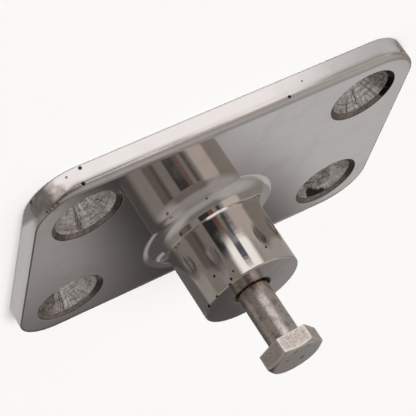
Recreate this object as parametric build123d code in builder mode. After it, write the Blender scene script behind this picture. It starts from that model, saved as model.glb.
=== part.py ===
from build123d import *
from math import atan, degrees, radians, tan
import os

# A side mount for a bimini frame: a cast and polished plate that carries a round boss, with a hex bolt in the boss.
# Sizes are in millimetres. The origin is the middle of the plate's back face, and +Z runs out along the boss.

# Plate
plate_length = 97.5
plate_width = 64.0
plate_thickness = 5.4
plate_corner_radius = 11.0
plate_edge_radius = 1.0

# Screw holes: a shallow polished flare, then a right-angled countersink, then a plain hole through the plate
hole_spacing_x = 72.0
hole_spacing_y = 37.8
screw_hole_radius = 3.3
countersink_radius = 8.2
countersink_angle = 90.0
flare_radius = 8.65
flare_lip_radius = 7.5

# Boss, which stands nearer one long edge of the plate
boss_offset_y = -11.5
boss_radius = 12.5
boss_height = 20.0
boss_root_radius = 3.4
boss_rim_radius = 0.8

# Blind tapped hole down the boss, at the mean size of its thread
bore_radius = 3.65
bore_depth = 18.0
bore_mouth_chamfer = 1.27
drill_point_angle = 118.0

# Bolt, with its threaded end at the mean size of the thread
shank_radius = 4.0
shank_length = 14.9
shank_root_radius = 0.4
thread_radius = 3.6
thread_length = 15.1
thread_tip_chamfer = 0.8
head_across_flats = 12.9
head_height = 4.4
head_turn = 7.3
crown_radius_share = 0.95
crown_slope = 30.0

# What follows from the sizes above
boss_face = plate_thickness + boss_height
head_base = boss_face + shank_length
head_top = head_base + head_height
lip_depth = countersink_radius - flare_lip_radius
flare_angle = 2 * degrees(atan((flare_radius - flare_lip_radius) / lip_depth))
drill_point_depth = bore_radius / tan(radians(drill_point_angle / 2))
crown_radius = crown_radius_share * head_across_flats / 2
crown_drop = (head_across_flats - crown_radius) * tan(radians(crown_slope))


with BuildPart() as mount_base:
    with BuildSketch():
        RectangleRounded(plate_length, plate_width, plate_corner_radius)
    extrude(amount=plate_thickness)
    fillet(mount_base.faces().sort_by(Axis.Z)[-1].edges(), radius=plate_edge_radius)

    # The boss, cast in one with the plate, with a concave root and a softened rim
    with BuildSketch(Plane.XY.offset(plate_thickness)):
        with Locations((0, boss_offset_y)):
            Circle(boss_radius)
    extrude(amount=boss_height)
    circles = mount_base.edges().filter_by(GeomType.CIRCLE).sort_by(Axis.Z)
    boss_circles = circles.filter_by(lambda edge: abs(edge.radius - boss_radius) < boss_rim_radius)
    fillet(boss_circles[0], radius=boss_root_radius)
    fillet(mount_base.faces().sort_by(Axis.Z)[-1].edges(), radius=boss_rim_radius)

    # Two cones, one inside the other, make each screw hole's flare and countersink
    with Locations(Plane.XY.offset(plate_thickness)):
        with GridLocations(hole_spacing_x, hole_spacing_y, 2, 2):
            CounterSinkHole(screw_hole_radius, countersink_radius, counter_sink_angle=countersink_angle)
            CounterSinkHole(screw_hole_radius, flare_radius, counter_sink_angle=flare_angle)

    # The blind hole, which ends in the cone that the drill left
    with Locations((0, boss_offset_y, boss_face)):
        Hole(bore_radius, depth=bore_depth)
    with Locations((0, boss_offset_y, boss_face - bore_depth)):
        Cone(0, bore_radius, drill_point_depth, align=(Align.CENTER, Align.CENTER, Align.MAX), mode=Mode.SUBTRACT)
    mouth = mount_base.faces().sort_by(Axis.Z)[-1].inner_wires().edges()
    chamfer(mouth, length=bore_mouth_chamfer)

mount_base.part.label = "mount_base"


with BuildPart() as hex_bolt:
    # Hexagonal head, whose corners are turned down to a shallow crown on the outer face
    with BuildSketch(Plane.XY.offset(head_base)):
        with Locations((0, boss_offset_y)):
            RegularPolygon(head_across_flats / 2, side_count=6, major_radius=False, rotation=head_turn)
    extrude(amount=head_height)
    with BuildSketch(Plane.XZ.offset(-boss_offset_y)):
        with BuildLine():
            Polyline(
                (0, head_base),
                (head_across_flats, head_base),
                (head_across_flats, head_top - crown_drop),
                (crown_radius, head_top),
                (0, head_top),
                close=True,
            )
        make_face()
    revolve(axis=Axis((0, boss_offset_y, 0), (0, 0, 1)), mode=Mode.INTERSECT)

    # Plain shank between the head and the boss, then the threaded length
    with BuildSketch(Plane.XY.offset(head_base)):
        with Locations((0, boss_offset_y)):
            Circle(shank_radius)
    extrude(amount=-shank_length)
    under_head = hex_bolt.edges().filter_by(GeomType.CIRCLE).sort_by(Axis.Z)
    fillet(under_head.filter_by_position(Axis.Z, head_base, head_base), radius=shank_root_radius)
    with BuildSketch(Plane.XY.offset(boss_face)):
        with Locations((0, boss_offset_y)):
            Circle(thread_radius)
    extrude(amount=-thread_length)
    chamfer(hex_bolt.faces().sort_by(Axis.Z)[0].edges(), length=thread_tip_chamfer)

hex_bolt.part.label = "hex_bolt"


os.makedirs("parts", exist_ok=True)
for piece in (mount_base.part, hex_bolt.part):
    export_step(piece, f"parts/{piece.label}.step")
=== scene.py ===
import bpy
import bmesh
from math import cos, hypot, pi, radians, sin, tan
from mathutils import Matrix, Vector, noise


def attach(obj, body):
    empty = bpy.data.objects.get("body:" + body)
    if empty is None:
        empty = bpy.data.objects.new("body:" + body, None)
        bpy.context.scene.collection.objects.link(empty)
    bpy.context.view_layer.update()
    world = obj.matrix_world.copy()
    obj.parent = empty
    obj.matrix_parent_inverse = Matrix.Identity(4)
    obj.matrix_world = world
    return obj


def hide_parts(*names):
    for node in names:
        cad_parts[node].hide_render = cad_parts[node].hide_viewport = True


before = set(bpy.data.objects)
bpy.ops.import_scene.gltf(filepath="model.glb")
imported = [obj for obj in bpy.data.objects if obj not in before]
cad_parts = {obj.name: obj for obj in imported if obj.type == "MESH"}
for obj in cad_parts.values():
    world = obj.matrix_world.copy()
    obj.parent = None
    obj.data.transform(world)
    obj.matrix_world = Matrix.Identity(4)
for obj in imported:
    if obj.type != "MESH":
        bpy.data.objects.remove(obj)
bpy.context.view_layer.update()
mm = 0.001  # all sizes below are in millimetres
scene = bpy.context.scene


# Helpers for meshes. A path is a list of (across, up, normal across, normal up), with its normal on the right.

def roundedPath(corners):
    # corners are (across, up, radius, steps)
    path = []
    last = len(corners) - 1
    for i, (across, up, radius, steps) in enumerate(corners):
        here = Vector((across, up))
        before = (here - Vector(corners[i - 1][:2])).normalized() if i > 0 else None
        after = (Vector(corners[i + 1][:2]) - here).normalized() if i < last else None
        if before is None or after is None or radius == 0:
            along = after if before is None else before if after is None else (before + after).normalized()
            path.append((across, up, along.y, -along.x))
            continue
        turn = before.angle_signed(after)  # clockwise is positive
        side = 1 if turn > 0 else -1
        start = here - before * radius * tan(abs(turn) / 2)
        first = Vector((before.y, -before.x))
        centre = start + first * radius * side
        for k in range(steps + 1):
            spin = turn * k / steps
            normal = Vector((first.x * cos(spin) + first.y * sin(spin), -first.x * sin(spin) + first.y * cos(spin)))
            point = centre - normal * radius * side
            path.append((point.x, point.y, normal.x, normal.y))
    return path


def bentPath(bends, steps):
    # a cubic curve through a start, two pulls and an end
    bends = [Vector(bend) for bend in bends]
    path = []
    for k in range(steps + 1):
        t = k / steps
        weights = ((1 - t) ** 3, 3 * t * (1 - t) ** 2, 3 * t * t * (1 - t), t ** 3)
        slopes = (-(1 - t) ** 2, (1 - t) ** 2 - 2 * t * (1 - t), 2 * t * (1 - t) - t * t, t * t)
        point = sum((w * bend for w, bend in zip(weights, bends)), Vector((0, 0)))
        along = sum((w * bend for w, bend in zip(slopes, bends)), Vector((0, 0))).normalized()
        path.append((point.x, point.y, along.y, -along.x))
    return path


def divided(path, longest):
    # splits the long spans, so that none is longer than this
    out = [path[0]]
    for a, b in zip(path, path[1:]):
        pieces = max(1, round(hypot(b[0] - a[0], b[1] - a[1]) / longest))
        for k in range(1, pieces + 1):
            out.append(tuple(p + (q - p) * k / pieces for p, q in zip(a, b)))
    return out


def ringContour(x, y, steps, start=0.0):
    angles = [radians(start) + 2 * pi * k / steps for k in range(steps)]
    return [(x, y, cos(a), sin(a)) for a in angles]


def addRow(mesh, spots, normals):
    layer = mesh.verts.layers.float_vector["trueNormal"]
    row = [mesh.verts.new(Vector(spot) * mm) for spot in spots]
    for vert, normal in zip(row, normals):
        vert[layer] = Vector(normal).normalized()
    return row


def joinRows(mesh, low, high, material):
    for k in range(len(low)):
        m = (k + 1) % len(low)
        face = mesh.faces.new((low[k], low[m], high[m], high[k]))
        face.material_index = material
        face.smooth = True


def sweep(mesh, contour, path, material, shift=None):
    # carries a path round a contour; across is measured along the contour's own normal. shift may move a point.
    rows = []
    for across, up, nAcross, nUp in path:
        spots = []
        for x, y, nx, ny in contour:
            a, u = shift(nx, ny, across, up) if shift else (across, up)
            spots.append((x + nx * a, y + ny * a, u))
        rows.append(addRow(mesh, spots, [(nx * nAcross, ny * nAcross, nUp) for x, y, nx, ny in contour]))
    for low, high in zip(rows, rows[1:]):
        joinRows(mesh, low, high, material)
    return rows


def closeRow(mesh, row, up, facing, material):
    # a fan of triangles from a ring to its middle
    layer = mesh.verts.layers.float_vector["trueNormal"]
    middle = sum((vert.co for vert in row), Vector()) / len(row)
    tip = mesh.verts.new((middle.x, middle.y, up * mm))
    tip[layer] = Vector((0, 0, facing))
    for k, vert in enumerate(row):
        corners = (vert, row[(k + 1) % len(row)], tip)
        face = mesh.faces.new(corners if facing > 0 else corners[::-1])
        face.material_index = material
        face.smooth = True


def fillFlat(mesh, loops, facing, material):
    # closes a flat area between rings; every vertex round it takes the flat's normal
    layer = mesh.verts.layers.float_vector["trueNormal"]
    edges = []
    for ring in loops:
        for k, vert in enumerate(ring):
            vert[layer] = Vector((0, 0, facing))
            edges.append(mesh.edges.get((vert, ring[(k + 1) % len(ring)])))
    made = bmesh.ops.triangle_fill(mesh, use_beauty=True, edges=edges)
    for face in made["geom"]:
        if isinstance(face, bmesh.types.BMFace):
            face.normal_update()
            if face.normal.z * facing < 0:
                face.normal_flip()
            face.material_index = material
            face.smooth = True


def finishMesh(mesh, name, materials):
    bmesh.ops.remove_doubles(mesh, verts=mesh.verts, dist=0.002 * mm)
    data = bpy.data.meshes.new(name)
    mesh.to_mesh(data)
    mesh.free()
    data.normals_split_custom_set_from_vertices([tuple(item.vector) for item in data.attributes["trueNormal"].data])
    data.attributes.remove(data.attributes["trueNormal"])
    for material in materials:
        data.materials.append(material)
    piece = bpy.data.objects.new(name, data)
    scene.collection.objects.link(piece)
    return piece


# Helpers for node trees

def addNode(tree, kind, inputs=None, **settings):
    made = tree.nodes.new(kind)
    for name, value in settings.items():
        setattr(made, name, value)
    for name, value in (inputs or {}).items():
        if isinstance(value, bpy.types.NodeSocket):
            tree.links.new(value, made.inputs[name])
        else:
            made.inputs[name].default_value = value
    return made


def addMath(tree, operation, a, b=0.0, c=0.0, clamp=False):
    return addNode(tree, "ShaderNodeMath", {0: a, 1: b, 2: c}, operation=operation, use_clamp=clamp).outputs[0]


def minus(tree, a, b):
    return addMath(tree, "SUBTRACT", a, b)


def times(tree, a, b, clamp=False):
    return addMath(tree, "MULTIPLY", a, b, clamp=clamp)


def timesPlus(tree, a, b, c):
    return addMath(tree, "MULTIPLY_ADD", a, b, c)


def addRange(tree, value, low, high, toLow=0.0, toHigh=1.0, kind="SMOOTHSTEP"):
    return addNode(tree, "ShaderNodeMapRange", {"Value": value, "From Min": low, "From Max": high, "To Min": toLow,
                                                "To Max": toHigh}, interpolation_type=kind).outputs[0]


def addMix(tree, share, a, b):
    mix = addNode(tree, "ShaderNodeMix", data_type="RGBA")
    for index, value in ((0, share), (6, a), (7, b)):
        if isinstance(value, bpy.types.NodeSocket):
            tree.links.new(value, mix.inputs[index])
        elif index:
            mix.inputs[index].default_value = (*value, 1)
        else:
            mix.inputs[index].default_value = value
    return mix.outputs[2]


def newMaterial(name):
    material = bpy.data.materials.new(name)
    material.use_nodes = True
    tree = material.node_tree
    tree.nodes.clear()
    shader = addNode(tree, "ShaderNodeBsdfPrincipled")
    addNode(tree, "ShaderNodeOutputMaterial", {"Surface": shader.outputs["BSDF"]})
    return material, tree, shader


def newGroup(name, vectors, numbers, result):
    # a shader group that gives one number
    tree = bpy.data.node_groups.new(name, "ShaderNodeTree")
    for kind, titles in (("Vector", vectors), ("Float", numbers)):
        for title in titles:
            tree.interface.new_socket(title, in_out="INPUT", socket_type="NodeSocket" + kind)
    tree.interface.new_socket(result, in_out="OUTPUT", socket_type="NodeSocketFloat")
    return tree, addNode(tree, "NodeGroupInput").outputs, addNode(tree, "NodeGroupOutput").inputs[0]


# Camera, where the photograph was taken from

cameraSettings = {
    "place": (-151.06, 323.05, 144.14),
    "lookAt": (-8.525, 11.765, 12.0),
    "roll": -146.443,
    "lens": 144.911,
}


def makeCamera(settings):
    data = bpy.data.cameras.new("photoCamera")
    data.lens = settings["lens"]
    data.sensor_width = 36.0
    data.clip_start = 0.01
    data.clip_end = 20
    camera = bpy.data.objects.new("photoCamera", data)
    scene.collection.objects.link(camera)
    place = Vector(settings["place"]) * mm
    aim = Vector(settings["lookAt"]) * mm - place
    turned = aim.to_track_quat("-Z", "Y").to_matrix() @ Matrix.Rotation(radians(-settings["roll"]), 3, "Z")
    camera.matrix_world = Matrix.Translation(place) @ turned.to_4x4()
    scene.camera = camera


makeCamera(cameraSettings)
print("stage 2: camera set")


# Heights, places and sizes that the finishes and the meshes share
plateFront, bossFace, headBase, headTop = 5.4, 25.4, 40.3, 44.7
bossPlace, bossRadius, mouthRadius = (0.0, -11.5), 12.5, 4.92
holePlace, flareRadius = (36.0, 18.9), 8.65  # and the same in the other three corners
shankRadius = 4.0


# Finishes. Their patterns read the place of a point in millimetres, and polar places round an axis of the part.

def useGroup(tree, group, inputs):
    return addNode(tree, "ShaderNodeGroup", inputs, node_tree=group).outputs[0]


def scaled(tree, vector, factor):
    return addNode(tree, "ShaderNodeVectorMath", {0: vector, 1: factor}, operation="MULTIPLY").outputs[0]


def joined(tree, x, y, z):
    return addNode(tree, "ShaderNodeCombineXYZ", {0: x, 1: y, 2: z}).outputs[0]


def pointPlace(tree):
    # millimetres, as a vector and as x, y, z
    spot = scaled(tree, addNode(tree, "ShaderNodeTexCoord").outputs["Object"], (1000, 1000, 1000))
    return (spot, *addNode(tree, "ShaderNodeSeparateXYZ", {0: spot}).outputs)


def polarPlace(tree, x, y, centre):
    # distance from an upright axis, and angle round it in radians
    fromX = minus(tree, x, centre[0])
    fromY = minus(tree, y, centre[1])
    reach = addMath(tree, "SQRT", timesPlus(tree, fromX, fromX, times(tree, fromY, fromY)))
    return reach, addMath(tree, "ARCTAN2", fromY, fromX)


def holePolar(tree, x, y):
    # the same round the nearest screw hole, with all four corners folded into one
    return polarPlace(tree, addMath(tree, "ABSOLUTE", x), addMath(tree, "ABSOLUTE", y), holePlace)


def roughNoise(tree, spot, scale, detail, roughness):
    return addNode(tree, "ShaderNodeTexNoise", {"Vector": spot, "Scale": scale, "Detail": detail,
                                                "Roughness": roughness}).outputs[0]


def addBump(tree, shader, height):
    # height is in millimetres
    bump = addNode(tree, "ShaderNodeBump", {"Height": height, "Strength": 1.0, "Distance": mm})
    tree.links.new(bump.outputs[0], shader.inputs["Normal"])


def strongest(tree, masks):
    mask = masks[0]
    for other in masks[1:]:
        mask = addMath(tree, "MAXIMUM", mask, other)
    return mask


def makeWavesGroup():
    # slow unevenness left by hand polishing, from -1 to 1
    tree, given, out = newGroup("polishWaves", ["Spot"], ["Length"], "Height")
    big = roughNoise(tree, given["Spot"], addMath(tree, "DIVIDE", 1.0, given["Length"]), 1.0, 0.4)
    tree.links.new(timesPlus(tree, big, 2.0, -1.0), out)
    return tree


def makeLinesGroup():
    # fine drawn lines: the stretch says how many per millimetre on each axis
    tree, given, out = newGroup("drawnLines", ["Spot", "Stretch"], ["Detail"], "Value")
    long = scaled(tree, given["Spot"], given["Stretch"])
    tree.links.new(roughNoise(tree, long, 1.0, given["Detail"], 0.65), out)
    return tree


def makeHatchGroup():
    # thin dark lines that follow the stretch
    tree, given, out = newGroup("hatchedLines", ["Spot", "Stretch"], [], "Mask")
    lines = roughNoise(tree, scaled(tree, given["Spot"], given["Stretch"]), 1.0, 2.0, 0.5)
    off = addMath(tree, "ABSOLUTE", minus(tree, lines, 0.5))
    tree.links.new(addRange(tree, off, 0.035, 0.0), out)
    return tree


def makeSpotGroup():
    # a ragged spot, for pits and stains
    tree, given, out = newGroup("raggedSpot", ["Spot", "Centre"], ["Radius", "Ragged"], "Mask")
    away = addNode(tree, "ShaderNodeVectorMath", {0: given["Spot"], 1: given["Centre"]}, operation="DISTANCE")
    rough = roughNoise(tree, given["Spot"], addMath(tree, "DIVIDE", 1.2, given["Radius"]), 3.0, 0.5)
    shift = times(tree, minus(tree, rough, 0.5), given["Ragged"])
    share = addMath(tree, "ADD", addMath(tree, "DIVIDE", away.outputs["Value"], given["Radius"]), shift)
    tree.links.new(addRange(tree, share, 1.15, 0.7), out)
    return tree


def makeStreakGroup():
    # a dark line that runs out from a hole's axis
    tree, given, out = newGroup("radialStreak", ["Spot", "Centre"], ["Angle", "Start", "End", "Width"], "Mask")
    local = addNode(tree, "ShaderNodeVectorMath", {0: given["Spot"], 1: given["Centre"]}, operation="SUBTRACT")
    turned = addNode(tree, "ShaderNodeVectorRotate", {"Vector": local.outputs[0], "Axis": (0, 0, 1),
                                                      "Angle": times(tree, given["Angle"], -1.0)})
    along, across, _ = addNode(tree, "ShaderNodeSeparateXYZ", {0: turned.outputs[0]}).outputs
    rough = roughNoise(tree, given["Spot"], 1.3, 3.0, 0.5)
    bent = timesPlus(tree, minus(tree, rough, 0.5), 1.1, across)
    share = addMath(tree, "DIVIDE", addMath(tree, "ABSOLUTE", bent), given["Width"])
    ends = times(tree, addRange(tree, minus(tree, along, given["Start"]), -0.3, 0.3),
                 addRange(tree, minus(tree, given["End"], along), -0.3, 0.3))
    tree.links.new(times(tree, addRange(tree, share, 1.3, 0.4), ends), out)
    return tree


wavesGroup, linesGroup, hatchGroup = makeWavesGroup(), makeLinesGroup(), makeHatchGroup()
spotGroup, streakGroup = makeSpotGroup(), makeStreakGroup()


def gatherSpots(tree, spot, places):
    # several ragged spots in one mask: each is (x, y, z, radius)
    return strongest(tree, [
        useGroup(tree, spotGroup, {"Spot": spot, "Centre": (x, y, z), "Radius": radius, "Ragged": 0.9})
        for x, y, z, radius in places])


steelLook = {
    "clean": (0.80, 0.77, 0.772), "dull": (0.66, 0.615, 0.585), "cast": (0.40, 0.35, 0.32),
    "pit": (0.05, 0.042, 0.036), "black": (0.02, 0.02, 0.021), "flare": (0.225, 0.19, 0.165),
    # the mouth colour is painted shade in the tapped hole's mouth and also darkens the flare's outline; the rim colour
    # is a painted highlight
    "mouth": (0.09, 0.066, 0.05), "rimHighlight": (0.52, 0.42, 0.31),
    "waveLength": 9.0, "plateWaves": 0.0012, "rootWaves": 0.012, "bossWaves": 0.006,
    "ringLines": 0.005, "scuffLines": 0.009, "castLumps": 0.09, "pitDepth": 0.25, "roughness": 0.05,
    # the places below are x, y, z and radius
    "pits": [
        (-36.83, 32, 0.81, 0.45), (-40.47, 32, 1.45, 0.4), (-38.06, 32, 4.4, 0.5), (12.94, 32, 4.7, 0.42),
        (17.67, 32, 2.36, 0.2), (-9.59, -3.49, 21.3, 0.34), (3.24, 0.57, 21.8, 0.3), (-6.27, -0.68, 23.2, 0.26),
        (-7.42, -1.44, 24.4, 0.36), (-8.16, -2.03, 25.4, 0.42), (-10.94, -5.45, 25.4, 0.42), (-12.3, -9.26, 25.3, 0.62),
        (-46.8, 29.6, 4.9, 0.5), (-45.6, 30.4, 5.0, 0.45), (-48.75, 28.4, 1.94, 0.4), (45.98, -27.3, 5.3, 0.4),
    ],
    "smudges": [(-10.5, -4.2, 8.4, 0.5), (-3.4, 2.9, 6.0, 0.35), (12.5, -6.3, 7.0, 0.45), (11.6, -5.6, 7.6, 0.3),
                (45.5, 30.4, 3.6, 0.35), (-48.3, 26.6, 3.6, 0.3),
                (-46.5, 27.8, 5.2, 0.4), (-45.9, 28.4, 5.2, 0.3), (-45.2, 29.0, 5.2, 0.3), (-44.3, 29.8, 5.3, 0.5),
                (-47.6, 25.9, 0.6, 0.45), (44.1, 30.0, 4.2, 0.4)],
    "blackFlarePatches": [(44.1, 19.4, 4.9, 2.6), (42.6, 23.6, 4.9, 1.8), (43.6, 15.6, 4.9, 1.6)],
    "castPatches": [(-46.2, 30.4, 2.4, 4.2), (-44.2, 31.6, 3.4, 2.6), (-47.6, 26.4, 2.4, 2.2), (46.4, 29.8, 2.4, 2.6)],
    "scuffs": [(-1.0, 1.0, 13.0, 3.6), (-3.8, 0.4, 14.6, 2.2)],
}


def makePolishedSteel(look):
    material, tree, shader = newMaterial("polishedSteel")
    spot, x, y, z = pointPlace(tree)
    reach, angle = polarPlace(tree, x, y, bossPlace)
    onBoss = addRange(tree, z, plateFront + 2.8, plateFront + 4.0)
    onSide = times(tree, onBoss, addRange(tree, z, bossFace - 0.1, bossFace - 0.7))
    offPlate = addRange(tree, z, plateFront + 0.1, plateFront + 1.2)
    aroundBoss = joined(tree, times(tree, angle, bossRadius), z, reach)
    pits = gatherSpots(tree, spot, look["pits"])
    # height: waves, fine rings on the boss, lumps in the rough patches, then the pits
    waves = useGroup(tree, wavesGroup, {"Spot": spot, "Length": look["waveLength"]})
    small = useGroup(tree, wavesGroup, {"Spot": spot, "Length": look["waveLength"] / 3})
    depth = timesPlus(tree, offPlate, look["rootWaves"] - look["plateWaves"], look["plateWaves"])
    depth = timesPlus(tree, onBoss, look["bossWaves"] - look["rootWaves"], depth)
    rings = useGroup(tree, linesGroup, {"Spot": aroundBoss, "Stretch": (0.08, 5.0, 0.0), "Detail": 4.0})
    height = times(tree, timesPlus(tree, small, 0.3, waves), depth)
    scuffed = gatherSpots(tree, spot, look["scuffs"])
    ringDepth = timesPlus(tree, scuffed, look["scuffLines"], look["ringLines"])
    height = timesPlus(tree, times(tree, rings, onSide), ringDepth, height)
    castPatches = gatherSpots(tree, spot, look["castPatches"])
    lumps = roughNoise(tree, spot, 0.8, 5.0, 0.6)
    height = timesPlus(tree, times(tree, castPatches, lumps), look["castLumps"], height)
    height = timesPlus(tree, pits, -look["pitDepth"], height)
    addBump(tree, shader, height)
    # colour: a slight bloom and fine scratches
    bloom = addRange(tree, roughNoise(tree, spot, 0.13, 5.0, 0.6), 0.45, 0.8, 0.0, 0.5)
    scratches = useGroup(tree, linesGroup, {"Spot": spot, "Stretch": (0.35, 5.0, 1.5), "Detail": 5.0})
    fine = addRange(tree, scratches, 0.55, 0.8)
    colour = addMix(tree, bloom, look["clean"], look["dull"])
    colour = addMix(tree, times(tree, fine, 0.25), colour, look["dull"])
    # the duller flare round each screw hole, with a darker outline and near-black patches
    fromHole, _ = holePolar(tree, x, y)
    flare = times(tree, addRange(tree, fromHole, flareRadius + 0.1, flareRadius - 0.15),
                  addRange(tree, z, plateFront + 0.02, plateFront - 0.1))
    grain = roughNoise(tree, spot, 1.5, 5.0, 0.7)
    patchy = addRange(tree, grain, 0.35, 0.62, 0.75, 1.0)
    colour = addMix(tree, times(tree, flare, patchy), colour, look["flare"])
    outline = times(tree, flare, addRange(tree, fromHole, flareRadius - 0.4, flareRadius - 0.15, 0.0, 0.7))
    colour = addMix(tree, outline, colour, look["mouth"])
    black = times(tree, flare, gatherSpots(tree, spot, look["blackFlarePatches"]))
    colour = addMix(tree, black, colour, look["black"])
    # painted shade in the mouth of the tapped hole, with a painted highlight on its rim, then rough patches, smudges
    # and pits
    mouth = times(tree, addRange(tree, reach, mouthRadius + 0.14, mouthRadius + 0.08),
                  addRange(tree, z, bossFace - 1.6, bossFace - 1.2))
    colour = addMix(tree, mouth, colour, look["mouth"])
    # the mouth's rounded lip takes a golden painted highlight
    rim = times(tree, mouth, addRange(tree, reach, mouthRadius - 0.12, mouthRadius - 0.08))
    colour = addMix(tree, rim, colour, look["rimHighlight"])
    patched = times(tree, castPatches, addRange(tree, lumps, 0.3, 0.6, 0.5, 0.85))
    colour = addMix(tree, patched, colour, look["cast"])
    smudges = gatherSpots(tree, spot, look["smudges"])
    colour = addMix(tree, times(tree, smudges, 0.75), colour, look["pit"])
    colour = addMix(tree, pits, colour, look["pit"])
    tree.links.new(colour, shader.inputs["Base Color"])
    roughness = timesPlus(tree, fine, 0.05, timesPlus(tree, bloom, 0.05, look["roughness"]))
    softEdge = times(tree, addRange(tree, z, plateFront, plateFront - 0.03),
                     addRange(tree, z, plateFront - 2.0, plateFront - 1.2))
    softEdge = times(tree, softEdge, addRange(tree, fromHole, flareRadius + 0.35, flareRadius + 0.55))
    rough = strongest(tree, [patched, flare, mouth, softEdge])
    roughness = timesPlus(tree, rough, 0.2, roughness)
    tree.links.new(timesPlus(tree, pits, 0.5, roughness), shader.inputs["Roughness"])
    shader.inputs["Metallic"].default_value = 1.0
    return material


castLook = {
    "light": (0.46, 0.43, 0.415), "dark": (0.13, 0.11, 0.10), "stain": (0.075, 0.055, 0.043),
    # the oil colour here is painted shade down the tapped hole
    "nearBlack": (0.012, 0.012, 0.014), "oilAndShade": (0.16, 0.13, 0.10), "hatch": 0.6,
    "grainDepth": 0.07, "lineDepth": 0.05, "hatchDepth": 0.05, "streakDepth": 0.09,
    "streaks": [  # hole x and y, angle, from and to reach, width
        (-36, 18.9, -97, 3.2, 7.3, 0.2), (-36, 18.9, -93, 4.2, 7.4, 0.14), (-36, 18.9, -89, 5.8, 7.4, 0.18),
        (-36, 18.9, -20, 4.5, 6.2, 0.16), (-36, -18.9, -93, 4.0, 7.2, 0.2), (-36, -18.9, -99, 4.4, 7.0, 0.16),
        (36, 18.9, -78, 3.9, 6.6, 0.16), (36, 18.9, -104, 5.6, 7.2, 0.14), (36, 18.9, -122, 6.6, 7.4, 0.2),
    ],
    "stains": [(42.4, 19.4, 3.0, 3.4), (41.4, 22.6, 3.6, 2.2), (-40.4, -22.6, 2.8, 3.6), (-37.6, 25.9, 4.2, 1.2),
               (35.6, -22.8, 1.8, 3.4), (38.2, -22.6, 2.2, 2.4)],
    # near-black patches high in one countersink, under its lip: x, y, z and radius
    "blackPatches": [(33.9, -25.0, 3.9, 1.4), (35.4, -25.9, 4.4, 1.5), (37.2, -26.2, 4.6, 1.3), (38.4, -26.2, 4.8, 0.8)],
}


def makeCastWall(look):
    material, tree, shader = newMaterial("castWall")
    spot, x, y, z = pointPlace(tree)
    reach, angle = holePolar(tree, x, y)
    around = joined(tree, reach, times(tree, angle, 4.0), addMath(tree, "SIGN", x))
    arcs = useGroup(tree, linesGroup, {"Spot": around, "Stretch": (2.3, 0.2, 3.0), "Detail": 5.0})
    rays = useGroup(tree, linesGroup, {"Spot": around, "Stretch": (0.25, 1.3, 3.0), "Detail": 5.0})
    grain = roughNoise(tree, spot, 1.6, 6.0, 0.7)
    streaks = strongest(tree, [
        useGroup(tree, streakGroup, {"Spot": spot, "Centre": (holeX, holeY, 0), "Angle": radians(turn),
                                     "Start": start, "End": end, "Width": width})
        for holeX, holeY, turn, start, end, width in look["streaks"]])
    stains = gatherSpots(tree, spot, look["stains"])
    blackPatches = gatherSpots(tree, spot, look["blackPatches"])
    tapped = addRange(tree, z, plateFront + 1.0, plateFront + 1.4)
    mottle = addMath(tree, "ADD", addRange(tree, arcs, 0.48, 0.7, 0.0, 0.55), addRange(tree, rays, 0.5, 0.72, 0.0, 0.4))
    mottle = addMath(tree, "ADD", mottle, addRange(tree, grain, 0.45, 0.72, 0.0, 0.6), clamp=True)
    colour = addMix(tree, mottle, look["light"], look["dark"])
    hatch = strongest(tree, [useGroup(tree, hatchGroup, {"Spot": around, "Stretch": stretch})
                             for stretch in ((1.7, 0.12, 3.0), (0.14, 1.5, 3.0))])
    colour = addMix(tree, times(tree, hatch, look["hatch"]), colour, look["stain"])
    uneven = addMath(tree, "ADD", times(tree, mottle, 0.9), 0.4)
    stained = times(tree, stains, uneven, clamp=True)
    colour = addMix(tree, stained, colour, look["stain"])
    colour = addMix(tree, times(tree, streaks, 0.85), colour, look["stain"])
    # near-black patches high in one countersink, under its lip
    colour = addMix(tree, blackPatches, colour, look["nearBlack"])
    # the tapped hole's thread is painted darker: painted shade down the bore
    colour = addMix(tree, tapped, colour, look["oilAndShade"])
    tree.links.new(colour, shader.inputs["Base Color"])
    height = times(tree, grain, look["grainDepth"])
    height = timesPlus(tree, arcs, look["lineDepth"], height)
    height = timesPlus(tree, rays, look["lineDepth"], height)
    height = timesPlus(tree, hatch, -look["hatchDepth"], height)
    height = timesPlus(tree, streaks, -look["streakDepth"], height)
    addBump(tree, shader, height)
    tree.links.new(addRange(tree, grain, 0.3, 0.7, 0.42, 0.62), shader.inputs["Roughness"])
    shader.inputs["Metallic"].default_value = 0.4
    return material


boltLook = {
    "plain": (0.71, 0.655, 0.645), "dark": (0.37, 0.33, 0.325), "wornAndHighlight": (0.97, 0.93, 0.92),
    "head": (0.74, 0.68, 0.675), "headDark": (0.47, 0.425, 0.415), "ring": (0.62, 0.50, 0.38),
    # this dark colour marks the head with oil, and is painted shade where the shank goes into the hole
    "oilAndShade": (0.085, 0.062, 0.048),
    "streakDepth": 0.022, "grainDepth": 0.03,
    "headMarks": [(-3.0, -4.6, 44.7, 0.75), (-1.6, -6.8, 44.7, 0.5), (1.5, -12.4, 44.7, 0.8), (-3.2, -9.9, 44.7, 0.5),
                  (1.5, -6.1, 44.7, 0.45)],
}


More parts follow.
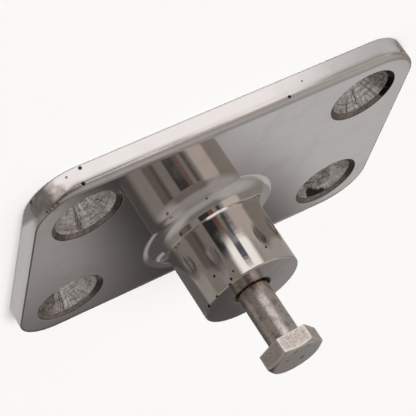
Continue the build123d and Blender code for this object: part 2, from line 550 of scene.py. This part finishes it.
def makeBoltSteel(look):
    material, tree, shader = newMaterial("boltSteel")
    spot, x, y, z = pointPlace(tree)
    reach, angle = polarPlace(tree, x, y, bossPlace)
    around = joined(tree, times(tree, angle, shankRadius), z, reach)
    onHead = addRange(tree, z, headBase - 0.15, headBase)
    streaks = useGroup(tree, linesGroup, {"Spot": around, "Stretch": (2.4, 0.16, 0.0), "Detail": 5.0})
    hair = useGroup(tree, linesGroup, {"Spot": around, "Stretch": (7.0, 0.7, 0.0), "Detail": 3.0})
    grain = roughNoise(tree, spot, 2.6, 6.0, 0.7)
    wearAndHighlight = addNode(tree, "ShaderNodeAttribute", attribute_name="wearAndHighlight").outputs["Fac"]
    patches = roughNoise(tree, around, 0.55, 5.0, 0.65)
    bright = times(tree, addRange(tree, streaks, 0.48, 0.66), addRange(tree, hair, 0.3, 0.6))
    colour = addMix(tree, addRange(tree, patches, 0.45, 0.68), look["plain"], look["dark"])
    colour = addMix(tree, times(tree, bright, 0.85), colour, look["wornAndHighlight"])
    colour = addMix(tree, addRange(tree, grain, 0.45, 0.75, 0.0, 0.5), colour, look["dark"])
    headColour = addMix(tree, addRange(tree, grain, 0.4, 0.62), look["head"], look["headDark"])
    # the head's edges and corners are painted pale: wear, and a painted highlight along the edges
    headColour = addMix(tree, times(tree, wearAndHighlight, 0.75), headColour, look["wornAndHighlight"])
    headColour = addMix(tree, addRange(tree, z, headTop - 0.25, headTop - 0.05, 0.0, 0.75), headColour, look["wornAndHighlight"])
    marks = gatherSpots(tree, spot, look["headMarks"])
    headColour = addMix(tree, times(tree, marks, 0.7), headColour, look["oilAndShade"])
    colour = addMix(tree, onHead, colour, headColour)
    # a golden ring where the shank enters the boss, and painted shade where the shank and thread go into the hole
    soiled = timesPlus(tree, grain, 0.4, z)
    colour = addMix(tree, addRange(tree, soiled, bossFace + 1.1, bossFace + 0.75, 0.0, 0.7), colour, look["ring"])
    # painted shade on the shank just above and inside the hole
    gapShade = times(tree, addRange(tree, soiled, bossFace + 0.45, bossFace + 0.3),
                 addRange(tree, z, bossFace - 1.4, bossFace - 0.2, 0.5, 0.9))
    colour = addMix(tree, gapShade, colour, look["oilAndShade"])
    tree.links.new(colour, shader.inputs["Base Color"])
    height = times(tree, streaks, timesPlus(tree, onHead, -look["streakDepth"], look["streakDepth"]))
    height = timesPlus(tree, grain, look["grainDepth"], height)
    addBump(tree, shader, height)
    tree.links.new(addRange(tree, hair, 0.3, 0.7, 0.19, 0.36), shader.inputs["Roughness"])
    shader.inputs["Metallic"].default_value = 1.0
    return material


polishedSteel = makePolishedSteel(steelLook)
castWall = makeCastWall(castLook)
boltSteel = makeBoltSteel(boltLook)
print("stage 3: finishes made")


# Thread: one tree cuts it on the bolt and in the tapped hole

thread = {
    "pitch": 1.25, "fade": 1.25, "rowsPerTurn": 12,
    "boltInner": 3.25, "boltOuter": 3.97,
    "holeInner": 3.33, "holeOuter": 4.05,
    "ridgeStart": 0.16, "ridgeEnd": 0.84,
}


def makeThreadTree():
    tree = bpy.data.node_groups.new("helicalThread", "GeometryNodeTree")
    sockets = tree.interface
    sockets.new_socket("Geometry", in_out="INPUT", socket_type="NodeSocketGeometry")
    for name in ("Inner Radius", "Outer Radius", "Pitch", "Low End", "High End", "Fade", "Centre Y", "Start Angle"):
        sockets.new_socket(name, in_out="INPUT", socket_type="NodeSocketFloat")
    for name in ("Rows", "Steps Around"):
        sockets.new_socket(name, in_out="INPUT", socket_type="NodeSocketInt")
    sockets.new_socket("Facing In", in_out="INPUT", socket_type="NodeSocketBool")
    sockets.new_socket("Material", in_out="INPUT", socket_type="NodeSocketMaterial")
    sockets.new_socket("Geometry", in_out="OUTPUT", socket_type="NodeSocketGeometry")
    given = addNode(tree, "NodeGroupInput").outputs

    def math(operation, a, b=0.0, c=0.0):
        return addMath(tree, operation, a, b, c)

    # a flat grid becomes a tube: its X runs along the thread and its Y runs round it
    grid = addNode(tree, "GeometryNodeMeshGrid", {"Size X": 1.0, "Size Y": 1.0, "Vertices X": given["Rows"],
                                                  "Vertices Y": math("ADD", given["Steps Around"], 1)})
    place = addNode(tree, "ShaderNodeSeparateXYZ", {0: addNode(tree, "GeometryNodeInputPosition").outputs[0]})
    turn = math("ADD", math("ADD", place.outputs[1], 0.5), math("DIVIDE", given["Start Angle"], 360.0))
    length = math("SUBTRACT", given["High End"], given["Low End"])
    height = math("MULTIPLY_ADD", math("ADD", place.outputs[0], 0.5), length, given["Low End"])
    phase = math("SUBTRACT", math("DIVIDE", height, given["Pitch"]), turn)
    wave = math("MULTIPLY", math("ABSOLUTE", math("SUBTRACT", math("FRACT", phase), 0.5)), 2.0)
    ridge = addRange(tree, wave, thread["ridgeStart"], thread["ridgeEnd"])
    cut = math("MULTIPLY_ADD", ridge, math("SUBTRACT", given["Outer Radius"], given["Inner Radius"]),
               given["Inner Radius"])
    # the thread runs out at both ends, into its outer radius
    fromLow = math("DIVIDE", math("SUBTRACT", height, given["Low End"]), given["Fade"])
    fromHigh = math("DIVIDE", math("SUBTRACT", given["High End"], height), given["Fade"])
    fade = math("MAXIMUM", math("MINIMUM", math("MINIMUM", fromLow, fromHigh), 1.0), 0.0)
    radius = math("MULTIPLY_ADD", fade, math("SUBTRACT", cut, given["Outer Radius"]), given["Outer Radius"])
    angle = math("MULTIPLY", turn, 2 * pi)
    spot = joined(tree, math("MULTIPLY", radius, math("COSINE", angle)),
                  math("ADD", math("MULTIPLY", radius, math("SINE", angle)), given["Centre Y"]), height)
    bent = addNode(tree, "GeometryNodeSetPosition", {"Geometry": grid.outputs["Mesh"],
                                                     "Position": scaled(tree, spot, (mm, mm, mm))})
    closed = addNode(tree, "GeometryNodeMergeByDistance", {"Geometry": bent.outputs[0], "Distance": 1e-6})
    turned = addNode(tree, "GeometryNodeFlipFaces", {"Mesh": closed.outputs[0], "Selection": given["Facing In"]})
    smooth = addNode(tree, "GeometryNodeSetShadeSmooth", {"Geometry": turned.outputs[0]})
    real = addNode(tree, "GeometryNodeRealizeInstances", {"Geometry": smooth.outputs[0]})
    coated = addNode(tree, "GeometryNodeSetMaterial", {"Geometry": real.outputs[0], "Material": given["Material"]})
    addNode(tree, "NodeGroupOutput", {0: coated.outputs[0]})
    return tree


threadTree = makeThreadTree()


def cutThread(mesh, sizes, material, slot):
    # runs the tree and adds what it makes to the mesh
    carrier = bpy.data.objects.new("threadCarrier", bpy.data.meshes.new("threadCarrier"))
    scene.collection.objects.link(carrier)
    modifier = carrier.modifiers.new("thread", "NODES")
    modifier.node_group = threadTree
    keys = {item.name: item.identifier for item in threadTree.interface.items_tree if item.in_out == "INPUT"}
    turns = (sizes["High End"] - sizes["Low End"]) / thread["pitch"]
    sizes = dict(sizes, Pitch=thread["pitch"], Fade=thread["fade"], Rows=round(turns * thread["rowsPerTurn"]))
    for name, value in sizes.items():
        modifier[keys[name]] = value
    modifier[keys["Material"]] = material
    graph = bpy.context.evaluated_depsgraph_get()
    made = bpy.data.meshes.new_from_object(carrier.evaluated_get(graph), depsgraph=graph)
    bpy.data.objects.remove(carrier)
    known = len(mesh.faces)
    mesh.from_mesh(made)
    mesh.faces.ensure_lookup_table()
    for face in mesh.faces[known:]:
        face.material_index = slot


# Base: plate and boss, cast in one

plate = {
    "length": 97.5, "width": 64.0,
    "cornerRadius": 11.0, "cornerSteps": 28,
    "backEdge": 0.6, "wallTop": 2.5,
    "frontEdge": ((0, -1.5), (0, -0.35), (-0.6, 0), (-2.6, 0)), "edgeSteps": 24, "shortEdgeScale": 0.2,
}
holes = {
    "steps": 192, "rowLength": 0.25, "roughness": 0.09,
    "lipRadius": 7.5, "lipDepth": 0.7, "lipRound": 0.2, "flareRound": 0.25,
    "throughRadius": 3.3,
}
boss = {
    "rimRadius": 0.4, "steps": 160,
    "root": ((5.2, 0), (2.1, 0), (0.05, 1.35), (0, 5.2)), "rootSteps": 40,
    "mouthRound": 0.24, "boreDepth": 18.0, "drillAngle": 118.0,
}


def plateContour():
    # outline of the rounded rectangle
    halfX = plate["length"] / 2 - plate["cornerRadius"]
    halfY = plate["width"] / 2 - plate["cornerRadius"]
    out = []
    for quarter, (sx, sy) in enumerate(((1, 1), (-1, 1), (-1, -1), (1, -1))):
        for k in range(plate["cornerSteps"] + 1):
            a = pi / 2 * (quarter + k / plate["cornerSteps"])
            nx, ny = cos(a), sin(a)
            out.append((sx * halfX, sy * halfY, nx, ny))
    return out


def addScrewHole(mesh, x, y):
    # flare, lip, countersink and through hole, from the front face to the back
    lip = plateFront - holes["lipDepth"]
    sinkFoot = lip - (holes["lipRadius"] - holes["throughRadius"])
    contour = ringContour(x, y, holes["steps"])
    seam = (holes["lipRadius"] - 0.15, lip - 0.15, 0, 0)  # the polish ends here and the cast wall begins
    polished = roundedPath([
        (flareRadius + 0.12, plateFront, 0, 0),
        (flareRadius, plateFront, holes["flareRound"], 4),
        (holes["lipRadius"], lip, holes["lipRound"], 4),
        seam,
    ])
    rough = divided(roundedPath([
        seam,
        (holes["throughRadius"], sinkFoot, 0.2, 3),
        (holes["throughRadius"], 0, 0.0, 0),
    ]), holes["rowLength"])
    upper = sweep(mesh, contour, polished, 0)
    lower = sweep(mesh, contour, rough, 1)
    layer = mesh.verts.layers.float_vector["trueNormal"]
    for row in lower[1:-1]:
        for vert in row:
            # the cast wall is uneven; a zero normal leaves the shading to the mesh
            place = vert.co / mm
            uneven = noise.noise(place * 0.55) + 0.5 * noise.noise(place * 1.7)
            vert.co += vert[layer] * uneven * holes["roughness"] * mm
            vert[layer] = (0, 0, 0)
    return upper[0], lower[-1]


def buildBase():
    mesh = bmesh.new()
    mesh.verts.layers.float_vector.new("trueNormal")
    # rim of the plate, from the back face up the wall to the front face; its front edge is sharper on the short sides
    outside = plate["cornerRadius"]

    def sharpenEdge(nx, ny, across, up):
        if up < plateFront - 2:  # below the rolled edge
            return across, up
        scale = plate["shortEdgeScale"] + (1 - plate["shortEdgeScale"]) * ny * ny
        return outside + (across - outside) * scale, plateFront + (up - plateFront) * scale

    edge = bentPath([(outside + across, plateFront + up) for across, up in plate["frontEdge"]], plate["edgeSteps"])
    rim = sweep(mesh, plateContour(), roundedPath([
        (outside - plate["backEdge"] * 2, 0, 0, 0),
        (outside, 0, plate["backEdge"], 4),
        (outside, plate["wallTop"], 0, 0),
    ]) + edge, 0, sharpenEdge)
    # boss, from the front face up its root and side to the mouth of the tapped hole
    outer = thread["holeOuter"]
    high = bossFace - (mouthRadius - outer)
    low = bossFace - boss["boreDepth"]
    around = ringContour(*bossPlace, boss["steps"])
    root = bentPath([(bossRadius + across, plateFront + up) for across, up in boss["root"]], boss["rootSteps"])
    side = sweep(mesh, around, root[:-1] + roundedPath([
        (bossRadius, plateFront + boss["root"][-1][1], 0, 0),
        (bossRadius, bossFace, boss["rimRadius"], 8),
        (mouthRadius, bossFace, boss["mouthRound"], 5),
        (outer, high, 0, 0),
    ]), 0)
    cutThread(mesh, {
        "Inner Radius": thread["holeInner"], "Outer Radius": outer,
        "Low End": low, "High End": high, "Centre Y": bossPlace[1], "Start Angle": 0.0,
        "Steps Around": boss["steps"], "Facing In": True,
    }, castWall, 1)
    drillTip = outer / tan(radians(boss["drillAngle"] / 2))  # depth of the cone that the drill left
    bottom = sweep(mesh, around, [(outer, low, -0.7, 0.7), (outer * 0.1, low - drillTip * 0.9, -0.5, 0.86)], 1)
    closeRow(mesh, bottom[-1], low - drillTip, 1, 1)
    tops, backs = [rim[-1], side[0]], [rim[0]]
    for sx in (-1, 1):
        for sy in (-1, 1):
            top, back = addScrewHole(mesh, sx * holePlace[0], sy * holePlace[1])
            tops.append(top)
            backs.append(back)
    fillFlat(mesh, tops, 1, 0)
    fillFlat(mesh, backs, -1, 0)
    return finishMesh(mesh, "castBase", [polishedSteel, castWall])


base = buildBase()
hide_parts("mount_base")
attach(base, "base")
print("stage 4: base built,", len(base.data.polygons), "faces")


# Bolt

bolt = {
    "rootRadius": 0.4, "threadLength": 15.1, "threadTop": -0.3, "tipRadius": 3.0, "tipChamfer": 0.97,
    "acrossFlats": 12.9, "headTurn": 7.3, "cornerRadius": 0.3,
    "crownShare": 0.95, "crownSlope": 30.0, "edgeRound": 0.12, "stepsPerSide": 16, "arcSteps": 4,
}


def headContour():
    # outline of the hexagon, with slightly rounded corners: (x, y, normal x, normal y), from its own middle
    radius = bolt["cornerRadius"]
    reach = (bolt["acrossFlats"] / 2 - radius) / cos(pi / 6)
    out = []
    for side in range(6):
        corner = radians(bolt["headTurn"] + 60 * side)
        cx, cy = reach * cos(corner), reach * sin(corner)
        for k in range(bolt["arcSteps"] + 1):
            a = corner + radians(60) * (k / bolt["arcSteps"] - 0.5)
            out.append((cx + radius * cos(a), cy + radius * sin(a), cos(a), sin(a)))
        # along the flat to the next corner
        a = corner + radians(30)
        nextCorner = corner + radians(60)
        sx, sy = out[-1][:2]
        ex, ey = reach * cos(nextCorner) + radius * cos(a), reach * sin(nextCorner) + radius * sin(a)
        pieces = bolt["stepsPerSide"] - bolt["arcSteps"]
        for k in range(1, pieces):
            out.append((sx + (ex - sx) * k / pieces, sy + (ey - sy) * k / pieces, cos(a), sin(a)))
    return out


def buildBolt():
    mesh = bmesh.new()
    mesh.verts.layers.float_vector.new("trueNormal")
    # pale edges of the head: wear, and a painted highlight
    wearAndHighlight = mesh.verts.layers.float.new("wearAndHighlight")
    middle = bossPlace[1]
    tip = bossFace - bolt["threadLength"]
    steps = 6 * bolt["stepsPerSide"]
    start = bolt["headTurn"] - 30
    inner = shankRadius + bolt["rootRadius"] * 1.2
    around = ringContour(*bossPlace, steps, start)
    low = tip + bolt["tipChamfer"]
    high = bossFace + bolt["threadTop"]
    # tip, thread, then the plain shank up to the underside of the head
    end = sweep(mesh, around, roundedPath([
        (0.6, tip, 0, 0),
        (bolt["tipRadius"], tip, 0.1, 2),
        (thread["boltOuter"], low, 0, 0),
    ]), 0)
    closeRow(mesh, end[0], tip, -1, 0)
    cutThread(mesh, {
        "Inner Radius": thread["boltInner"], "Outer Radius": thread["boltOuter"],
        "Low End": low, "High End": high, "Centre Y": middle, "Start Angle": start,
        "Steps Around": steps, "Facing In": False,
    }, boltSteel, 0)
    shank = sweep(mesh, around, divided(roundedPath([
        (thread["boltOuter"], high, 0, 0),
        (shankRadius, bossFace, 0.1, 2),
        (shankRadius, headBase, bolt["rootRadius"], 6),
        (inner, headBase, 0, 0),
    ]), 1.5), 0)
    # head: rows of the hexagon, from the underside over the wall and the crown to the end face
    outline = headContour()
    small = bolt["edgeRound"]
    crown = bolt["crownShare"] * bolt["acrossFlats"] / 2
    slope = radians(bolt["crownSlope"])
    rows = [shank[-1]]
    wallLow = headBase + small

    def addHeadRow(wornAndHighlight, place, normal):
        # this number says how much of its finish this row has lost, and how strongly a highlight is painted along it
        spots, normals = [], []
        for x, y, nx, ny in outline:
            reach = hypot(x, y)
            turn = headTop - (reach - crown) * tan(slope)  # where the crown cuts this part of the wall
            px, py, pz = place(x, y, nx, ny, reach, turn)
            spots.append((px, py + middle, pz))
            normals.append(normal(nx, ny, x / reach, y / reach))
        row = addRow(mesh, spots, normals)
        for k, vert in enumerate(row):
            # corners are marked pale too: wear, and a painted highlight
            atCorner = k % bolt["stepsPerSide"] <= bolt["arcSteps"]
            vert[wearAndHighlight] = max(wornAndHighlight, 0.9 if atCorner and wornAndHighlight >= 0 else 0)
        rows.append(row)

    for share in (0.35, 0.7):
        addHeadRow(
            -1,
            lambda x, y, nx, ny, reach, turn: (
                x * (inner / reach + (1 - inner / reach) * share),
                y * (inner / reach + (1 - inner / reach) * share), headBase),
            lambda nx, ny, ux, uy: (0, 0, -1))
    for k in range(4):
        a = pi / 2 * k / 3
        addHeadRow(
            1,
            lambda x, y, nx, ny, reach, turn: (
                x - nx * small * (1 - sin(a)), y - ny * small * (1 - sin(a)), headBase + small * (1 - cos(a))),
            lambda nx, ny, ux, uy: (nx * sin(a), ny * sin(a), -cos(a)))
    for share, wornAndHighlight in ((0.08, 0.2), (0.25, 0), (0.5, 0), (0.75, 0), (0.88, 0.2)):
        addHeadRow(
            wornAndHighlight,
            lambda x, y, nx, ny, reach, turn: (x, y, wallLow + (turn - small - wallLow) * share),
            lambda nx, ny, ux, uy: (nx, ny, 0))
    for k in range(4):
        share = k / 3
        lean = radians(90) * (1 - share) + slope * share  # from the wall's normal to the crown's
        addHeadRow(
            1,
            lambda x, y, nx, ny, reach, turn: (
                x - x / reach * small * share ** 2 * 0.9, y - y / reach * small * share ** 2 * 0.9,
                turn - small * 0.5 * (1 - share) + small * 0.5 * share * tan(slope)),
            lambda nx, ny, ux, uy: (
                (nx * (1 - share) + ux * share) * sin(lean), (ny * (1 - share) + uy * share) * sin(lean), cos(lean)))
    for share in (0.3, 0.6, 0.85, 0.95):
        addHeadRow(
            -1,
            lambda x, y, nx, ny, reach, turn: (
                x + (x / reach * crown - x) * share, y + (y / reach * crown - y) * share,
                turn + (headTop - turn) * share),
            lambda nx, ny, ux, uy: (ux * sin(slope), uy * sin(slope), cos(slope)))
    for drop in (0.05, 0.35, 0.7, 1.5, 3.0, 4.8):
        addHeadRow(
            -1,
            lambda x, y, nx, ny, reach, turn: (x / reach * (crown - drop), y / reach * (crown - drop), headTop),
            lambda nx, ny, ux, uy: (0, 0, 1))
    for lowRow, highRow in zip(rows, rows[1:]):
        joinRows(mesh, lowRow, highRow, 0)
    closeRow(mesh, rows[-1], headTop, 1, 0)
    return finishMesh(mesh, "pivotBolt", [boltSteel])


pivotBolt = buildBolt()
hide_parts("hex_bolt")
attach(pivotBolt, "bolt")
print("stage 5: bolt built,", len(pivotBolt.data.polygons), "faces")


# Floor and light. The polish mirrors the room, so the room is laid out by compass: azimuth 0 is +X and 90 is +Y.

room = {
    "wall": (0.245, 0.22, 0.19), "upperWall": (0.31, 0.295, 0.28), "zenith": (0.34, 0.325, 0.305),
    "upperRise": (20, 45), "zenithRise": (58, 82),  # elevations between which each takes over
    # name: (from azimuth, to azimuth, from elevation, to elevation, soft edge, colour)
    "panels": {
        "dimCorner": (-142, -66, -60, 58, 30, (0.092, 0.084, 0.077)),
        "behindCamera": (62, 170, 25, 56, 16, (0.19, 0.17, 0.15)),
        "leftUpper": (158, 222, 34, 80, 34, (0.42, 0.40, 0.38)),
        "rightUpper": (-56, 50, 32, 80, 30, (0.43, 0.41, 0.39)),
        "skirting": (-114, -72, -60, 9, 8, (0.36, 0.34, 0.33)),
        "leftWall": (-76, -54, -60, 34, 5, (0.33, 0.315, 0.30)),
        "farWall": (-63.6, -55.5, -60, 25, 4, (0.51, 0.50, 0.49)),
        "farFloor": (-79, -62.5, -60, 21.3, 3.5, (0.115, 0.105, 0.10)),
        "tableEdge": (-66, -50, -60, 18.6, 1.4, (0.30, 0.285, 0.27)),
        "darkGap": (-69.3, -65.3, 18, 34, 3.6, (0.057, 0.052, 0.05)),
        "paleWall": (27, 68, -60, 31, 10, (0.53, 0.47, 0.415)),
        "coolPost": (76, 84.5, -60, 24, 3, (0.055, 0.06, 0.07)),
        "redBand": (93, 104, -60, 23.5, 2, (0.13, 0.065, 0.05)),
        "darkCoat": (103.5, 126, -60, 24, 3, (0.028, 0.028, 0.03)),
        "shade": (146, 175, -60, 25, 6, (0.135, 0.115, 0.10)),
        "slimPost": (149, 157.5, -60, 25, 3, (0.095, 0.085, 0.078)),
    },
}
# Cards that lie round the plate, seen only in the polish. In their panels the third and fourth numbers are distances
# from the boss's axis in millimetres, and the strips are a distance from the plate's edge.
cards = {
    "lift": 0.2, "size": 3000, "tone": (0.30, 0.28, 0.25),
    "frontStrip": (1.03, 1.0, 0.97), "sideStrip": (0.53, 0.52, 0.51), "stripStart": 5.5, "stripEnd": 9.5,
    "leftRise": (-20, -44), "frontFade": (44, 6), "frontRise": (-5, 1),  # x, x, and y from the plate's edge
    "panels": {
        "matDim": (-148, -80, -50, 4000, 10, (0.125, 0.115, 0.108)),
        "matLight": (-66, -17, -50, 4000, 14, (0.37, 0.36, 0.345)),
        "matRight": (-18, 56, -50, 4000, 6, (0.35, 0.325, 0.29)),
        "matShade": (114, 178, -50, 4000, 8, (0.22, 0.195, 0.165)),
        "matGlow": (65, 111.5, -50, 4000, 12, (1.0, 0.95, 0.88)),
        "matCoat": (99, 133, -50, 57, 7, (0.04, 0.036, 0.037)),
        "matHem": (110, 131, -50, 67, 6, (0.04, 0.038, 0.04)),
        "matBar": (83, 96, 58, 81, 3, (0.085, 0.09, 0.105)),
    },
    "lastPanels": {"cornerShade": (137.5, 151, -50, 4000, 3, (0.25, 0.24, 0.23))},
}


def makePanelGroup():
    # masks one panel by azimuth and by elevation, or by distance for the cards
    tree, given, out = newGroup(
        "roomPanel", [], ["Azimuth", "Elevation", "Centre", "Half Width", "Low", "High", "Soft"], "Mask")
    turned = minus(tree, given["Azimuth"], given["Centre"])
    away = addMath(tree, "ABSOLUTE", addMath(tree, "WRAP", turned, 180.0, -180.0))

    def edge(inside):
        half = times(tree, given["Soft"], 0.5)
        return addRange(tree, inside, times(tree, half, -1.0), half)

    across = edge(minus(tree, given["Half Width"], away))
    above = edge(minus(tree, given["Elevation"], given["Low"]))
    below = edge(minus(tree, given["High"], given["Elevation"]))
    tree.links.new(times(tree, across, times(tree, above, below)), out)
    return tree


panelGroup = makePanelGroup()


def paintPanels(tree, azimuth, elevation, colour, panels):
    # each panel is painted over the ones before it
    for start, stop, low, high, soft, tint in panels.values():
        panel = useGroup(tree, panelGroup, {
            "Azimuth": azimuth, "Elevation": elevation, "Centre": (start + stop) / 2,
            "Half Width": (stop - start) / 2, "Low": low, "High": high, "Soft": soft})
        colour = addMix(tree, panel, colour, tint)
    return colour


def makeRoom():
    world = bpy.data.worlds.new("room")
    scene.world = world
    world.use_nodes = True
    tree = world.node_tree
    tree.nodes.clear()
    ray = addNode(tree, "ShaderNodeSeparateXYZ", {0: addNode(tree, "ShaderNodeTexCoord").outputs["Generated"]}).outputs
    azimuth = addMath(tree, "DEGREES", addMath(tree, "ARCTAN2", ray[1], ray[0]))
    elevation = addMath(tree, "DEGREES", addMath(tree, "ARCSINE", ray[2]))
    colour = addMix(tree, addRange(tree, elevation, *room["upperRise"]), room["wall"], room["upperWall"])
    colour = paintPanels(tree, azimuth, elevation, colour, room["panels"])
    colour = addMix(tree, addRange(tree, elevation, *room["zenithRise"]), colour, room["zenith"])
    light = addNode(tree, "ShaderNodeBackground", {"Color": colour, "Strength": 1.0})
    addNode(tree, "ShaderNodeOutputWorld", {"Surface": light.outputs[0]})


def makeCards():
    bpy.ops.mesh.primitive_plane_add(size=cards["size"] * mm, location=(0, 0, cards["lift"] * mm))
    sheet = bpy.context.object
    sheet.name = "greyCards"
    material, tree, shader = newMaterial("greyCards")
    spot, x, y, z = pointPlace(tree)
    reach, angle = polarPlace(tree, x, y, bossPlace)
    azimuth = addMath(tree, "DEGREES", angle)
    colour = paintPanels(tree, azimuth, reach, cards["tone"], cards["panels"])
    fromPlate = strongest(tree, [
        minus(tree, addMath(tree, "ABSOLUTE", x), plate["length"] / 2),
        minus(tree, addMath(tree, "ABSOLUTE", y), plate["width"] / 2)])
    strip = addRange(tree, fromPlate, cards["stripEnd"], cards["stripStart"])
    inFront = addRange(tree, y, *[plate["width"] / 2 + rise for rise in cards["frontRise"]])
    onLeft = addRange(tree, x, *cards["leftRise"])
    besidePlate = times(tree, strip, strongest(tree, [onLeft, inFront]))
    colour = addMix(tree, besidePlate, colour, cards["sideStrip"])
    inFront = times(tree, inFront, addRange(tree, x, *cards["frontFade"]))
    colour = addMix(tree, times(tree, strip, inFront), colour, cards["frontStrip"])
    colour = paintPanels(tree, azimuth, reach, colour, cards["lastPanels"])
    tree.nodes.remove(shader)
    glow = addNode(tree, "ShaderNodeEmission", {"Color": colour, "Strength": 1.0})
    tree.links.new(glow.outputs[0], tree.nodes["Material Output"].inputs["Surface"])
    sheet.data.materials.append(material)
    for kind in ("camera", "diffuse", "transmission", "shadow", "volume_scatter"):
        setattr(sheet, "visible_" + kind, False)


stage = {
    "floorSize": 3000, "floorColour": (0.95, 0.95, 0.95),
    "lampStrength": 2.5, "lampTilt": 25, "lampTurn": 100, "lampSpread": 50,
}


def makeStage():
    bpy.ops.mesh.primitive_plane_add(size=stage["floorSize"] * mm, location=(0, 0, 0))
    floor = bpy.context.object
    floor.name = "floor"
    material, tree, shader = newMaterial("floorPaper")
    shader.inputs["Base Color"].default_value = (*stage["floorColour"], 1)
    shader.inputs["Roughness"].default_value = 1.0
    shader.inputs["Specular IOR Level"].default_value = 0.0
    floor.data.materials.append(material)
    lamp = bpy.data.lights.new("softLamp", "SUN")
    lamp.energy = stage["lampStrength"]
    lamp.angle = radians(stage["lampSpread"])
    holder = bpy.data.objects.new("softLamp", lamp)
    scene.collection.objects.link(holder)
    tilt, turn = radians(stage["lampTilt"]), radians(stage["lampTurn"])
    toLamp = Vector((sin(tilt) * cos(turn), sin(tilt) * sin(turn), cos(tilt)))
    holder.rotation_euler = toLamp.to_track_quat("Z", "Y").to_euler()
    holder.visible_glossy = False  # it lights the paper; the polish shows the room


makeRoom()
makeCards()
makeStage()
scene.view_settings.view_transform = "Standard"
print("stage 6: floor and light set")
